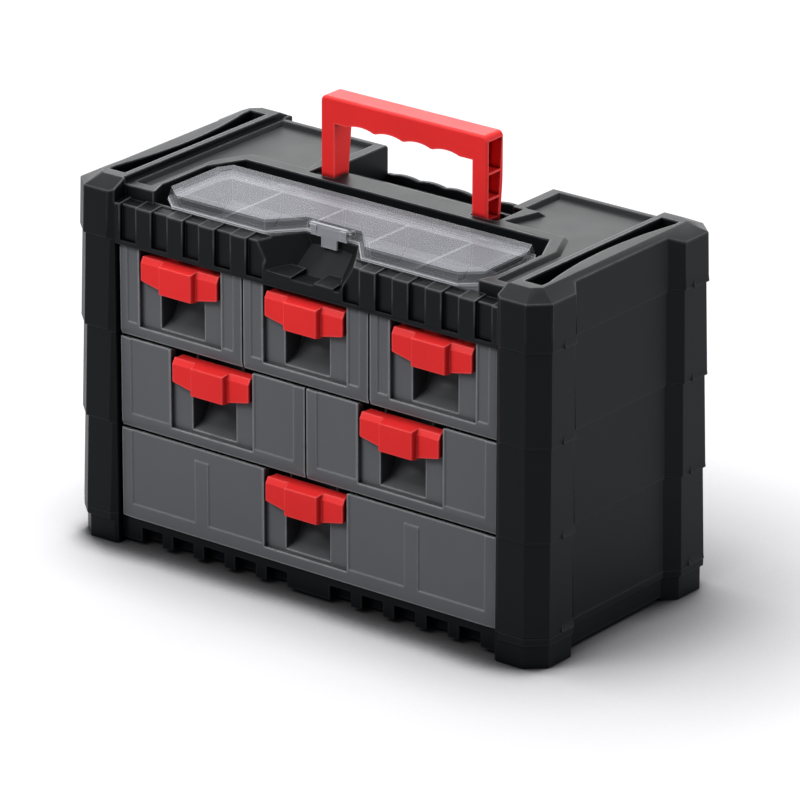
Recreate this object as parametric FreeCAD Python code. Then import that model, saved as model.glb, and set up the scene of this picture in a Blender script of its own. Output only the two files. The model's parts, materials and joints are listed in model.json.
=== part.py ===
import FreeCAD, Part
import math
import os

from FreeCAD import Vector

# Portable tool box with six drawers, a lift-out organiser and a folding handle.
# Millimetres. X runs across the front, -Y is the front, +Z is up.
# The origin is the centre of the footprint, on the surface the feet stand on.

# ---------------------------------------------------------------- body sizes
width = 400.0               # across the corner posts at the bottom of a module
depth = 198.0               # over the faces of the front and rear posts
base_height = 22.8          # floor to the first seam
module_height = 66.6        # one drawer row
housing_height = 40.4       # top seam to the top of the side rails
wall = 2.2                  # moulded wall of the black shells
draft_inset = 1.2           # each module is this much narrower at its top

corner_cut_x = 13.0         # leg of the corner facet along X
corner_cut_y = 12.0         # leg of the corner facet along Y
post_face = 20.5            # flat front face of a post
post_side = 38.0            # length of a corner post along Y
side_return = 10.0          # length along Y of the slant from panel to post
side_recess = 8.0           # how deep the side panel sits behind the posts
inner_bevel_x = 4.9         # bevel on the inner edge of a post, along X
inner_bevel_y = 3.0         # the same bevel along Y
rear_recess = 5.0           # rear panel behind the rear post faces

# ------------------------------------------------------------- drawer sizes
front_setback = 5.5         # drawer fronts behind the post faces
front_thick = 3.0           # drawer front plate
front_height = 65.0         # drawer front plate, bottom to top
front_drop = 2.2            # drawer front hangs this far below its seam
front_gap = 1.4             # gap between neighbouring fronts
front_seat_gap = 0.3        # front plate to the module edge behind it
mouth_gap = 1.5             # front plate to the post beside it
shelf = 2.4                 # shelf under each row
tray_lift = 0.3             # tray floor above its shelf
tray_wall = 1.8             # tray sides, rear and floor
tray_inset = 1.0            # tray side inside the end of its front plate
tray_rear_gap = 6.3         # tray to the rear wall of its module
tray_headroom = 4.5         # tray rim below the next seam
guide_gap = 0.4             # tray side to the bay wall
partition = 2.2             # upright walls between drawers of one row

bay_half = 35.3             # recessed grip bay in each front, half width
bay_depth = 3.3             # bay floor behind the front plane
bay_sill = 8.6              # bay bottom above the lower edge of the front
pocket_half = 18.7          # finger pocket, half width
pocket_depth = 19.0         # finger pocket behind the bay floor
pocket_sill = 1.0           # pocket floor above the bottom of the bay
pocket_fall = 0.8           # rise of the floor up to the bay floor plane
pocket_step = 5.0           # its rise up to the start of the curve
pocket_curve = 9.0          # the curve starts this far before the back
pocket_crown = 2.0          # middle of the curve before the back
pocket_rise = 20.0          # height over which the pocket floor curves up
pocket_wall = 2.0           # shell round the finger pocket
panel_margin = 9.2          # plain border at each end of a front
narrow_margin = 7.0         # the same on the narrow fronts of the top row
panel_sill = 10.3           # plain border along the bottom of a front
rib_head = 9.0              # ribs end this far below the top of a front
sole_height = 6.5           # lower edge of the upper fronts leans back
sole_depth = 2.0
panel_sink = 0.8            # sunk field on a front
bay_border = 1.7            # plain border beside the grip bay
panel_rib = 11.4            # raised rib on the widest front
divider_x = 89.8            # where a loose divider stands in the widest tray
divider_thick = 1.6
divider_slot_wall = 1.4     # thickness of the little guide ribs
divider_play = 0.2          # divider to its guide ribs, each side
divider_guide = 4.0         # guide ribs along Y
divider_low = 6.0           # divider and ribs below the tray rim

# --------------------------------------------------------------- pull sizes
pull_half = 33.2            # half width of the wings
pull_proud = 1.3            # wings in front of the drawer front plane
pull_top = 60.0             # wing top above the lower edge of the front
pull_outer_low = 43.2       # wing bottom at its outer end
pull_inner_low = 39.4       # wing bottom where it meets the block
block_half = 14.0           # block at its front face
block_flare = 1.1           # block is this much wider at the wings
block_low = 37.6            # block at its root, above the lower edge of the front
block_top = 58.4            # block at its front face
block_chin = 0.8            # its underside rises by this much to the front
block_skin = 2.2            # walls round the finger hollow behind the block
block_roof = 5.2            # roof over that hollow
wing_bevel_y = 2.4          # bevel along the top of the wings
wing_bevel_z = 4.0
hook_end = 1.0              # hook inside the ends of the wings
hook_thick = 3.0            # hook over the edge of the bay
hook_drop = 8.0             # how far the hook reaches down inside the tray
hook_play = 0.3

# ------------------------------------------------------------- base details
foot_height = 17.0          # narrower lower part of each foot
foot_inset = 1.6
skirt_lift = 3.0            # skirts and side walls above the floor
notch_pitch = 27.3          # also the pitch of the ribs on the top band
notch_count = 5             # notches each side of the centre
notch_width = 17.7
notch_top = 13.5
notch_depth = 7.8
base_rib_x = 53.6

# ------------------------------------------------------------ top housing
slope_drop = 6.8            # fall of the slopes round the top
slope_run = 14.0            # their reach inwards from the post faces
corner_run = 15.2           # the same on the corner facets
rail_width = 36.4           # side rails, from the side faces inwards
pad_drop = 4.4              # pads below the top of the side rails
rail_slot_edge = 4.8        # long slot, from the inner edge of its rail
rail_slot_skin = 17.5       # the same slot from the side face
rail_slot_end = 23.0        # its ends from the post faces
rail_slot_deep = 20.0
rail_bow = 7.4              # outer rail widens into the slot at mid length
rail_bow_end = 8.0          # the bow stops this far from the ends of the slot
recess_deep = 3.0           # sunk panel in each pad
recess_edge = 4.0           # ledge left round that panel
deck_setback = 15.0         # front face of the deck blocks behind the post faces
recess_behind = 10.8        # recess behind the rear wall of the organiser bay
recess_jog_y = 44.0         # inner side of the recess steps out at this line
recess_jog_x = 12.0
pad_setback = 11.0          # rear face of the pads from the rear post faces
pad_rear_bevel = 2.0
rear_ledge = 27.4           # ledge behind the pads, below the side rails
ramp_start = 25.5           # where the middle deck starts to fall to the rear
ramp_slope = 0.438
lip_thick = 3.4             # scalloped lip along the rear of the ramp
lip_top = 25.6              # its top below the side rails
scallop_count = 6
scallop_end = 3.2           # plain ends of that lip
scallop_rise = 1.3

band_setback = 3.0          # ribbed band behind the post faces
band_top = 13.0             # band top below the side rails, at its rear
band_fall = 1.4             # fall of the band top to the front
lip_drop = 3.4              # lip of the band below the top seam
lip_wall = 2.1
band_groove = 3.0           # grooves between the ribs
rib_width = 13.8
groove_top_drop = 1.2

organiser_floor = 4.0       # floor of the organiser bay above the top seam
cabin_margin = 22.1         # end walls of the organiser bay inside the side rails
cabin_plate = 2.2           # its front wall
cabin_rear = 4.7            # its rear wall
cabin_corner_x = 4.5        # front corners of the bay
cabin_corner_y = 12.0
cabin_rear_cut_x = 13.0     # rear corners of the bay
cabin_rear_cut_y = 26.2
cabin_neck_half = 26.0      # the bay narrows behind the hand scoop
cabin_shoulder_half = 44.0

scoop_top_half = 45.0       # hand scoop, half width at its front, upper edge
scoop_foot_half = 31.0      # the same at its lower edge
scoop_back_half = 22.6      # half width of its back wall, upper edge
scoop_bottom = 5.5          # its lower edge above the top seam
scoop_gap = 0.1             # its back wall in front of the notch of the organiser
scoop_slope_drop = 5.4      # the slope meets the back wall this far below the band
scoop_grade = 0.87          # rise of the slope for each millimetre of run
scoop_ridge = 0.14          # the slope falls back on both sides of the middle
wedge_low = 1.6             # two raised wedges on the floor, at their front
wedge_high = 3.6            # and at their rear
wedge_run = 17.0
wedge_root = 1.0            # how deep they are sunk in the floor
left_wedge = (-31.0, -9.2)  # from the centre line
right_wedge = (9.4, 26.2)

# ------------------------------------------------------------------ handle
handle_half = 70.4          # outer faces of the legs
handle_leg = 12.0           # leg thickness across X
handle_deep = 14.6          # legs at the pivot, front to rear
grip_deeper = 4.4           # the rear face leans out by this much at the grip
handle_rise = 66.4          # pivot to the top of the grip
grip_tall = 18.5            # grip, top to finger side
handle_edge = 4.0           # rounding of the outer corners
handle_round = 2.0          # rounding along the grip
handle_play = 0.6           # leg to the cheeks beside it
pivot_y = 20.0
pivot_drop = 14.0           # pivot below the side rails
pivot_radius = 3.5
pivot_fit = 0.05            # running fit in the legs
pin_seat_fit = 0.02         # pin in the housing
pin_bury = 7.0              # pin beyond the slot on each side
flute_pitch = 24.2
flute_rise = 2.0
flute_count = 4
flute_land = 2.0            # flat between two flutes
leg_hollow_wall = 2.2
leg_hollow_low = 7.5        # bottom of the hollow above the pivot
leg_rib = 1.6
leg_rib_places = (20.5, 38.7)
slot_front_gap = 1.2
slot_rear_gap = 13.7        # slot behind the leg
slot_side = 8.5             # slot outside the leg
boss_radius = 6.0           # boss that fills it round the pin
slot_under = 12.0           # slot floor below the pivot
cheek_inner = 10.0          # solid housing beside the slots
cheek_outer = 18.0
swing_wall = 16.0           # solid housing behind the pivot
swing_floor = 9.4           # channel floor below the pivot
swing_reach = 28.5          # channel length behind the pivot

# --------------------------------------------------------------- organiser
rim_play = 7.0              # rim to the end walls of its bay
rim_overhang = 1.0          # rim in front of the deck blocks
rim_rear = 9.4
rim_corner_x = 14.5         # front corner facet
rim_corner_y = 13.0
rim_rear_cut_x = 6.5
rim_rear_cut_y = 12.6
rim_notch_top = 41.0        # notch over the hand scoop, half width in front
rim_notch_root = 22.0       # the same at its root
rim_notch_deep = 21.8
rim_gap = 0.3               # rim above the band
rim_thick = 1.6
tub_side = 5.0              # tub wall inside the rim edge
tub_draft = 2.0
tub_wall = 1.8
tub_floor_gap = 0.3
tub_bevel = 9.0             # sloped floor along the front and rear
cell_count = 5
cell_pitch = 53.5
cell_drop = 0.4             # walls between the cells below the rim
lid_gap = 0.3
lid_rise = 7.4
lid_edge = 0.4
lid_lean = 2.0
lid_skin = 1.8
lid_plate = 2.6
lid_border = 9.0
lid_window_sink = 1.0

hinge_back = 2.8            # hinge axis behind the rim
hinge_up = 0.9              # hinge axis above the underside of the rim
knuckle_radius = 2.5
lid_pin_radius = 1.2
hinge_x = 84.0
knuckle_half = 6.0
ear_width = 8.0
knuckle_play = 0.3
knuckle_arm = 1.5           # root of the lid's knuckle inside the lid

latch_half = 18.0           # outer faces of the posts that carry the latch
latch_post = 2.7            # posts along X
latch_post_half = 1.6       # posts round the pin
latch_stand = 2.4           # latch axis in front of the notch
latch_drop = 3.0            # the same below the top of the lid
latch_radius = 1.7
latch_tab_half = 6.4
latch_tab_low = 15.6        # tab end below the top of the lid
latch_flap_low = 8.5        # flap end below the top of the lid
latch_thick = 1.6
latch_roof = 0.6            # roof of the latch behind its axis
latch_shoulder = 5.0        # raised ends of the flap
latch_shoulder_proud = 0.8
latch_shoulder_low = 5.5
latch_shoulder_top = 1.0
latch_pin_radius = 1.0
pin_end_gap = 0.2           # pins stop short of the faces at their ends

snap_front_start = 24.0     # bulges over the snap catches, from the post faces
snap_front_length = 13.5
snap_rear_start = 13.0
snap_rear_length = 17.5
snap_root = 3.0             # how deep a bulge starts inside the wall
snap_height = 10.5
snap_proud = 1.3

# ------------------------------------------------------------ derived places
half_w = width / 2
half_d = depth / 2
row_count = 3
top_seam = base_height + row_count * module_height
top = top_seam + housing_height
front_plane = -half_d + front_setback
front_back = front_plane + front_thick
mouth_y = front_back + front_seat_gap
mouth_half = half_w - corner_cut_x - post_face - inner_bevel_x
side_panel_half = half_d - post_side - side_return
fronts_half = mouth_half - mouth_gap
rear_plane = half_d - rear_recess
bay_wall = fronts_half - tray_inset + guide_gap
tray_rear = rear_plane - wall - tray_rear_gap
rail_inner = half_w - rail_width
deck_front = half_d - deck_setback
rear_wall = half_d - pad_setback
pad_rear = rear_wall - pad_rear_bevel
pad_inner = handle_half + handle_play
pad_top = top - pad_drop
band_face = -half_d + band_setback
band_back_z = top - band_top
pivot_z = top - pivot_drop
slot_inner = handle_half - handle_leg - handle_play
slot_outer = pad_inner + slot_side
slot_rear = pivot_y + handle_deep / 2 + slot_rear_gap
cabin_half = rail_inner - cabin_margin
cabin_front = deck_front - cabin_plate
cabin_floor = top_seam + organiser_floor
rim_half = cabin_half - rim_play
rim_front = deck_front + rim_overhang
rim_notch_y = rim_front - rim_notch_deep
rim_low = band_back_z + rim_gap
rim_top = rim_low + rim_thick
lid_low = rim_top + lid_gap
lid_top = lid_low + lid_rise
hinge_y = hinge_back - rim_rear
hinge_z = rim_low + hinge_up
latch_y = -rim_notch_y - latch_stand
latch_z = lid_top - latch_drop
latch_inner = latch_half - latch_post - knuckle_play
reach = 20.0                # how far cutting tools run past a face
nudge = 1.0                 # the same for tools beside another feature


def seam(index):
    """Height of a seam: 0 is the first one above the base."""
    return base_height + index * module_height


# ------------------------------------------------------------------ helpers
def box(x0, x1, y0, y1, z0, z1):
    return Part.makeBox(x1 - x0, y1 - y0, z1 - z0, Vector(x0, y0, z0))


def closed_wire(points):
    return Part.makePolygon(points + [points[0]])


def prism(points, z0, z1):
    """Outline in plan, extruded upwards."""
    face = Part.Face(closed_wire([Vector(x, y, z0) for x, y in points]))
    return face.extrude(Vector(0, 0, z1 - z0))


def side_profile(points, x0, x1):
    """Outline in the YZ plane, extruded along X."""
    face = Part.Face(closed_wire([Vector(x0, y, z) for y, z in points]))
    return face.extrude(Vector(x1 - x0, 0, 0))


def front_profile(points, y0, y1):
    """Outline in the XZ plane, extruded along Y."""
    face = Part.Face(closed_wire([Vector(x, y0, z) for x, z in points]))
    return face.extrude(Vector(0, y1 - y0, 0))


def taper(points0, z0, points1, z1):
    """Solid between two outlines with the same corners."""
    low = closed_wire([Vector(x, y, z0) for x, y in points0])
    high = closed_wire([Vector(x, y, z1) for x, y in points1])
    return Part.makeLoft([low, high], True, True)


def rod(x0, x1, y, z, radius):
    return Part.makeCylinder(radius, x1 - x0, Vector(x0, y, z), Vector(1, 0, 0))


def mirrored(shape):
    return shape.mirror(Vector(0, 0, 0), Vector(1, 0, 0))


def pair(shape):
    """A feature on the right together with its mirror image on the left."""
    return Part.makeCompound([shape, mirrored(shape)])


def both_halves(half):
    """Closed outline from the points of its right half, front to rear."""
    return half + [(-x, y) for x, y in reversed(half)]


def inset(points, distance):
    """Outline moved inwards; its points run counterclockwise."""
    count = len(points)
    result = []
    for i in range(count):
        before = Vector(*points[i - 1], 0)
        here = Vector(*points[i], 0)
        after = Vector(*points[(i + 1) % count], 0)
        first = (here - before).normalize()
        second = (after - here).normalize()
        first_in = Vector(-first.y, first.x, 0)
        second_in = Vector(-second.y, second.x, 0)
        turn = first_in + second_in
        shift = turn * (distance * 2 / turn.Length ** 2)
        result.append((here.x + shift.x, here.y + shift.y))
    return result


def save(name, shape):
    clean = shape.removeSplitter()
    solids = clean.Solids
    if len(solids) == 1:
        clean = solids[0]
    clean.exportStep("parts/" + name + ".step")
    print(name, len(solids), clean.isValid(), round(clean.Volume / 1000, 1))
    return clean


# --------------------------------------------------------------- black body
def body_outline(shrink):
    hw = half_w - shrink
    hd = half_d - shrink
    half = [
        (hw - corner_cut_x, -hd),
        (hw, -hd + corner_cut_y),
        (hw, -side_panel_half - side_return),
        (hw - side_recess, -side_panel_half),
        (hw - side_recess, side_panel_half),
        (hw, side_panel_half + side_return),
        (hw, hd - corner_cut_y),
        (hw - corner_cut_x, hd),
    ]
    return both_halves(half)


def front_mouth(back_y, z0, z1):
    """Space between the front posts, with the bevels on their inner edges."""
    bevel_y = -half_d + inner_bevel_y
    run = reach / inner_bevel_y
    half = [
        (mouth_half + inner_bevel_x * run, bevel_y - reach),
        (mouth_half, bevel_y),
        (mouth_half, back_y),
    ]
    return prism(both_halves(half), z0, z1)


def rear_mouth(back_y, z0, z1):
    return front_mouth(-back_y, z0, z1).mirror(Vector(0, 0, 0), Vector(0, 1, 0))


def side_hollow(z0, z1):
    """Hollow inside the right side wall and its two posts."""
    skin = draft_inset + wall
    inner = mouth_half + wall
    post_x = half_w - skin
    panel_x = post_x - side_recess
    face_y = half_d - skin
    post_y = side_panel_half + side_return
    half = [
        (inner, -face_y + inner_bevel_y),
        (inner + inner_bevel_x, -face_y),
        (half_w - corner_cut_x - wall, -face_y),
        (post_x, -half_d + corner_cut_y + wall),
        (post_x, -post_y - wall),
        (panel_x, -side_panel_half - wall / 2),
    ]
    points = half + [(x, -y) for x, y in reversed(half)]
    return prism(points, z0, z1)


def row_edges(count):
    """Left and right ends of the front plates of a row."""
    span = (2 * fronts_half - (count - 1) * front_gap) / count
    starts = [-fronts_half + i * (span + front_gap) for i in range(count)]
    return [(start, start + span) for start in starts]


def drawer_module(index, count):
    z0 = seam(index)
    z1 = z0 + module_height
    body = taper(body_outline(0), z0, body_outline(draft_inset), z1)
    body = body.cut(front_mouth(mouth_y, z0 - reach, z1 + reach))
    body = body.cut(rear_mouth(rear_plane, z0 - reach, z1 + reach))
    inside = box(-bay_wall, bay_wall, mouth_y - reach, rear_plane - wall, z0 + shelf, z1 + reach)
    hollow = side_hollow(z0 + shelf, z1 + reach)
    body = body.fuse(snap_bulges(z0)).cut([inside, hollow, mirrored(hollow)])
    edges = row_edges(count)
    for left, right in zip(edges, edges[1:]):
        middle = (left[1] + right[0]) / 2
        upright = box(middle - partition / 2, middle + partition / 2,
                      mouth_y, rear_plane - wall, z0 + shelf, z1)
        body = body.fuse(upright)
    return body


def base_frame():
    body = prism(body_outline(0), foot_height, base_height)
    body = body.fuse(prism(body_outline(foot_inset), 0, foot_height))
    body = body.cut(front_mouth(mouth_y, -reach, base_height + reach))
    body = body.cut(rear_mouth(rear_plane, -reach, base_height + reach))
    inside = box(-bay_wall, bay_wall, mouth_y + wall, rear_plane - wall,
                 skirt_lift + wall, base_height + reach)
    hollow = side_hollow(skirt_lift + wall, base_height + reach)
    body = body.cut([inside, hollow, mirrored(hollow)])
    lift = box(-mouth_half, mouth_half, -half_d, half_d, -reach, skirt_lift)
    between = box(-width, width, -side_panel_half, side_panel_half, -reach, skirt_lift)
    body = body.cut([lift, between])
    for x in (-base_rib_x, base_rib_x):
        body = body.fuse(box(x - wall / 2, x + wall / 2, mouth_y + wall / 2,
                             rear_plane - wall / 2, skirt_lift + wall, base_height))
    shells = []
    spaces = []
    for side in (-1, 1):
        for i in range(notch_count):
            x = side * (i + 1) * notch_pitch
            half = notch_width / 2
            shells.append(box(x - half - wall, x + half + wall, mouth_y,
                              mouth_y + notch_depth + wall, skirt_lift, notch_top + wall))
            spaces.append(box(x - half, x + half, mouth_y - reach,
                              mouth_y + notch_depth, -reach, notch_top))
    return body.fuse(shells).cut(spaces)


def snap_bulges(z):
    """Small raised housings over the snap catches, along the foot of a module."""
    bulges = []
    root = half_w - snap_root
    front = snap_front_start - half_d
    rear = half_d - snap_rear_start
    for y0, y1 in ((front, front + snap_front_length), (rear - snap_rear_length, rear)):
        low = [(root, y0), (half_w + snap_proud, y0), (half_w + snap_proud, y1), (root, y1)]
        high = [(root, y0 + snap_root), (half_w - draft_inset, y0 + snap_root),
                (half_w - draft_inset, y1), (root, y1)]
        bulge = taper(low, z, high, z + snap_height)
        bulges += [bulge, mirrored(bulge)]
    return bulges


# -------------------------------------------------------------- top housing
def corner_slope(sign_x, sign_y):
    """Wedge that cuts the slope over one corner facet."""
    length = math.hypot(corner_cut_x, corner_cut_y)
    normal = Vector(sign_x * corner_cut_y / length, sign_y * corner_cut_x / length, 0)
    along = Vector(-normal.y, normal.x, 0)
    middle = Vector(sign_x * (half_w - corner_cut_x / 2), sign_y * (half_d - corner_cut_y / 2), 0)
    grade = slope_drop / corner_run
    low = top - slope_drop
    start = middle - along * reach
    points = [
        start + normal * reach + Vector(0, 0, low - grade * reach),
        start - normal * 2 * corner_run + Vector(0, 0, low + grade * 2 * corner_run),
        start + normal * reach + Vector(0, 0, low + grade * 2 * corner_run),
    ]
    return Part.Face(closed_wire(points)).extrude(along * 2 * reach)


def top_slopes():
    grade = slope_drop / slope_run
    low = top - slope_drop
    high = low + grade * 2 * slope_run

    def wedge(edge):
        return [(edge + reach, low - grade * reach), (edge - 2 * slope_run, high), (edge + reach, high)]

    side = front_profile(wedge(half_w), -depth, depth)
    rear = side_profile(wedge(half_d), -width, width)
    front = rear.mirror(Vector(0, 0, 0), Vector(0, 1, 0))
    corners = [corner_slope(sx, sy) for sx in (-1, 1) for sy in (-1, 1)]
    return [side, mirrored(side), rear, front] + corners


def rail_slot():
    inner = rail_inner + rail_slot_edge
    outer = half_w - rail_slot_skin
    half = half_d - rail_slot_end
    bow_start = Vector(outer, rail_bow_end - half, 0)
    bow_end = Vector(outer, half - rail_bow_end, 0)
    bow_top = Vector(outer - rail_bow, 0, 0)
    front_out = Vector(outer, -half, 0)
    rear_out = Vector(outer, half, 0)
    front_in = Vector(inner, -half, 0)
    rear_in = Vector(inner, half, 0)
    edges = [
        Part.makeLine(front_in, front_out),
        Part.makeLine(front_out, bow_start),
        Part.Arc(bow_start, bow_top, bow_end).toShape(),
        Part.makeLine(bow_end, rear_out),
        Part.makeLine(rear_out, rear_in),
        Part.makeLine(rear_in, front_in),
    ]
    face = Part.Face(Part.Wire(edges))
    face.translate(Vector(0, 0, top - rail_slot_deep))
    return face.extrude(Vector(0, 0, rail_slot_deep + reach))


def pad_recess():
    """Sunk panel with sloped edges in the right pad."""
    ledge = recess_edge
    outer = rail_inner - ledge
    behind = cabin_rear + recess_behind
    inner = pad_inner + 2 * ledge
    outline = [
        (inner, pad_rear - ledge),
        (inner, recess_jog_y),
        (inner + recess_jog_x, recess_jog_y),
        (inner + ledge, behind),
        (cabin_half - cabin_rear_cut_x + ledge, behind),
        (cabin_half + ledge, behind - cabin_rear_cut_y),
        (cabin_half + ledge, -deck_front + 2 * ledge),
        (outer, -deck_front + 2 * ledge),
        (outer, pad_rear - ledge),
    ]
    floor = pad_top - recess_deep
    return taper(inset(outline, recess_deep), floor, outline, pad_top + 0.001)


def cabin_outline():
    """Plan of the organiser bay."""
    half = [
        (cabin_neck_half, cabin_plate - rim_notch_y),
        (cabin_shoulder_half, -cabin_front),
        (cabin_half - cabin_corner_x, -cabin_front),
        (cabin_half, cabin_corner_y - cabin_front),
        (cabin_half, cabin_rear - cabin_rear_cut_y),
        (cabin_half - cabin_rear_cut_x, cabin_rear),
    ]
    return both_halves(half)


def scoop_cut(x):
    """Section of the space over the floor and the folded slope of the scoop."""
    foot = top_seam + scoop_bottom
    back = -rim_notch_y - scoop_gap
    high = band_back_z - scoop_slope_drop - abs(x) * scoop_ridge
    toe = back - (high - foot) / scoop_grade
    front = -half_d - reach
    return closed_wire([Vector(x, front, foot), Vector(x, toe, foot), Vector(x, back, high),
                        Vector(x, back, top), Vector(x, front, top)])


def scoop():
    """Hand scoop: a floor and a folded slope between two facets that run together."""
    foot = top_seam + scoop_bottom
    back = -rim_notch_y - scoop_gap
    lean = scoop_top_half - scoop_foot_half
    spread = (scoop_top_half - scoop_back_half) / (back - band_face)

    def frame(y):
        high = scoop_back_half + (back - y) * spread
        low = high - lean
        over = band_back_z + nudge
        return closed_wire([Vector(-low, y, foot), Vector(low, y, foot),
                            Vector(high, y, over), Vector(-high, y, over)])

    facets = Part.makeLoft([frame(band_face - reach), frame(back)], True, True)
    half = Part.makeLoft([scoop_cut(0.0), scoop_cut(scoop_top_half + reach)], True, True)
    return facets.common(half.fuse(mirrored(half)))


def scoop_ribs():
    """Two raised wedges on the floor of the scoop."""
    foot = top_seam + scoop_bottom
    end = band_face + wedge_run
    profile = [(band_face, foot - wedge_root), (band_face, foot + wedge_low),
               (end, foot + wedge_high), (end, foot - wedge_root)]
    return [side_profile(profile, *span) for span in (left_wedge, right_wedge)]


def band_grooves():
    """Strips between the ribs of the band, sunk in its face and its top."""
    cuts = []
    groove = notch_pitch - rib_width
    for i in range(notch_count):
        centre = (i + 1.5) * notch_pitch
        x0 = centre - groove / 2
        x1 = min(centre + groove / 2, mouth_half)
        if x0 >= mouth_half:
            continue
        face_cut = box(x0, x1, band_face - reach, band_face + band_groove, top_seam, top)
        shelf_z = band_back_z - groove_top_drop
        top_cut = side_profile([(band_face - nudge, shelf_z - band_fall), (-deck_front, shelf_z),
                                (-deck_front, top), (band_face - nudge, top)], x0, x1)
        cuts += [face_cut, top_cut, mirrored(face_cut), mirrored(top_cut)]
    return cuts


def ramp_z(y):
    return pad_top - (y - ramp_start) * ramp_slope


def rear_lip():
    """Lip along the rear of the ramp, with a scalloped upper edge."""
    z_edge = top - lip_top
    end = pad_inner - scallop_end
    start = -end
    pitch = 2 * end / scallop_count
    edges = []
    for i in range(scallop_count):
        a = start + i * pitch
        b = a + pitch
        edges.append(Part.Arc(Vector(a, rear_wall, z_edge),
                              Vector((a + b) / 2, rear_wall, z_edge + scallop_rise),
                              Vector(b, rear_wall, z_edge)).toShape())
    low = top - rear_ledge - nudge
    edges.append(Part.makeLine(Vector(end, rear_wall, z_edge), Vector(end, rear_wall, low)))
    edges.append(Part.makeLine(Vector(end, rear_wall, low), Vector(start, rear_wall, low)))
    edges.append(Part.makeLine(Vector(start, rear_wall, low), Vector(start, rear_wall, z_edge)))
    lip = Part.Face(Part.Wire(edges)).extrude(Vector(0, lip_thick, 0))
    ends = pair(box(end - nudge, pad_inner + nudge, rear_wall, rear_wall + lip_thick, low, z_edge))
    return [lip] + ends.Solids


def housing_hollows():
    """Spaces under the deck, open to the row below."""
    z0 = top_seam - reach
    side_top = top - rail_slot_deep - wall
    side = side_hollow(z0, side_top)
    inner_rear = rear_wall - wall
    strip = box(cabin_half + wall, mouth_half - wall, -deck_front + wall, inner_rear,
                z0, pad_top - recess_deep - wall)
    front = box(scoop_top_half + 2 * wall, mouth_half - wall, band_face + band_groove + wall,
                -cabin_front - wall, z0, band_back_z - band_fall - groove_top_drop - wall)
    rear = box(pad_inner + cheek_outer, mouth_half - wall, cabin_rear + wall, inner_rear,
               z0, pad_top - recess_deep - wall)
    middle = side_profile([(cabin_rear + wall, z0), (cabin_rear + wall, pad_top - wall),
                           (ramp_start, pad_top - wall), (inner_rear, ramp_z(inner_rear) - wall),
                           (inner_rear, z0)], 0.0, slot_inner - cheek_inner)
    under_swing = box(slot_inner - cheek_inner + wall, pad_inner + cheek_outer - wall, pivot_y + swing_wall,
                      inner_rear, z0, ramp_z(inner_rear) - wall)
    right = [side, strip, front, rear, middle, under_swing]
    return right + [mirrored(shape) for shape in right]


def top_housing():
    z0 = top_seam
    body = taper(body_outline(0), z0, body_outline(draft_inset * housing_height / module_height), top)
    body = body.fuse(snap_bulges(z0))
    body = body.cut(top_slopes())
    body = body.cut(rear_mouth(rear_plane, z0 - reach, top + reach))
    body = body.cut(front_mouth(band_face, z0 - reach, top + reach))
    lip = box(-mouth_half, mouth_half, band_face, band_face + lip_wall, z0 - lip_drop, z0 + lip_drop)
    body = body.fuse(lip)
    fall = band_fall * deck_setback / (deck_setback - band_setback)
    over_band = side_profile([(-half_d, band_back_z - fall), (-deck_front, band_back_z),
                              (-deck_front, top + reach), (-half_d, top + reach)], -mouth_half, mouth_half)
    pads = box(-rail_inner, rail_inner, -deck_front, half_d, pad_top, top + reach)
    rear_edge = side_profile([(pad_rear, pad_top), (rear_wall, pad_top - pad_rear_bevel),
                              (rear_wall, top - rear_ledge), (rear_plane + reach, top - rear_ledge),
                              (rear_plane + reach, pad_top + reach), (pad_rear, pad_top + reach)],
                             -mouth_half, mouth_half)
    ramp = side_profile([(ramp_start, pad_top), (rear_wall, ramp_z(rear_wall)), (rear_wall, top + reach),
                         (ramp_start, top + reach)], -pad_inner, pad_inner)
    body = body.cut([over_band, pads, rear_edge, ramp])
    body = body.fuse(rear_lip())
    cabin = prism(cabin_outline(), cabin_floor, top + reach)
    cabin_mouth = box(cabin_corner_x - cabin_half, cabin_half - cabin_corner_x, -deck_front - nudge,
                      cabin_plate - rim_notch_y, band_back_z, top + reach)
    body = body.cut([cabin, cabin_mouth])
    body = body.cut(band_grooves())
    body = body.cut(scoop())
    body = body.fuse(scoop_ribs())
    body = body.cut([rail_slot(), mirrored(rail_slot())])
    body = body.cut([pad_recess(), mirrored(pad_recess())])
    body = body.cut(housing_hollows())
    slot = box(slot_inner, slot_outer, pivot_y - handle_deep / 2 - slot_front_gap, slot_rear,
               pivot_z - slot_under, top)
    boss = rod(pad_inner, slot_outer + nudge, pivot_y, pivot_z, boss_radius)
    swing = box(slot_inner, pad_inner, pivot_y, pivot_y + swing_reach, pivot_z - swing_floor, top)
    seat = rod(slot_inner - pin_bury, slot_outer + pin_bury, pivot_y, pivot_z,
               pivot_radius + pin_seat_fit)
    body = body.cut([slot, mirrored(slot)])
    body = body.fuse([boss, mirrored(boss)])
    return body.cut([swing, mirrored(swing), seat, mirrored(seat)])


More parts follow.
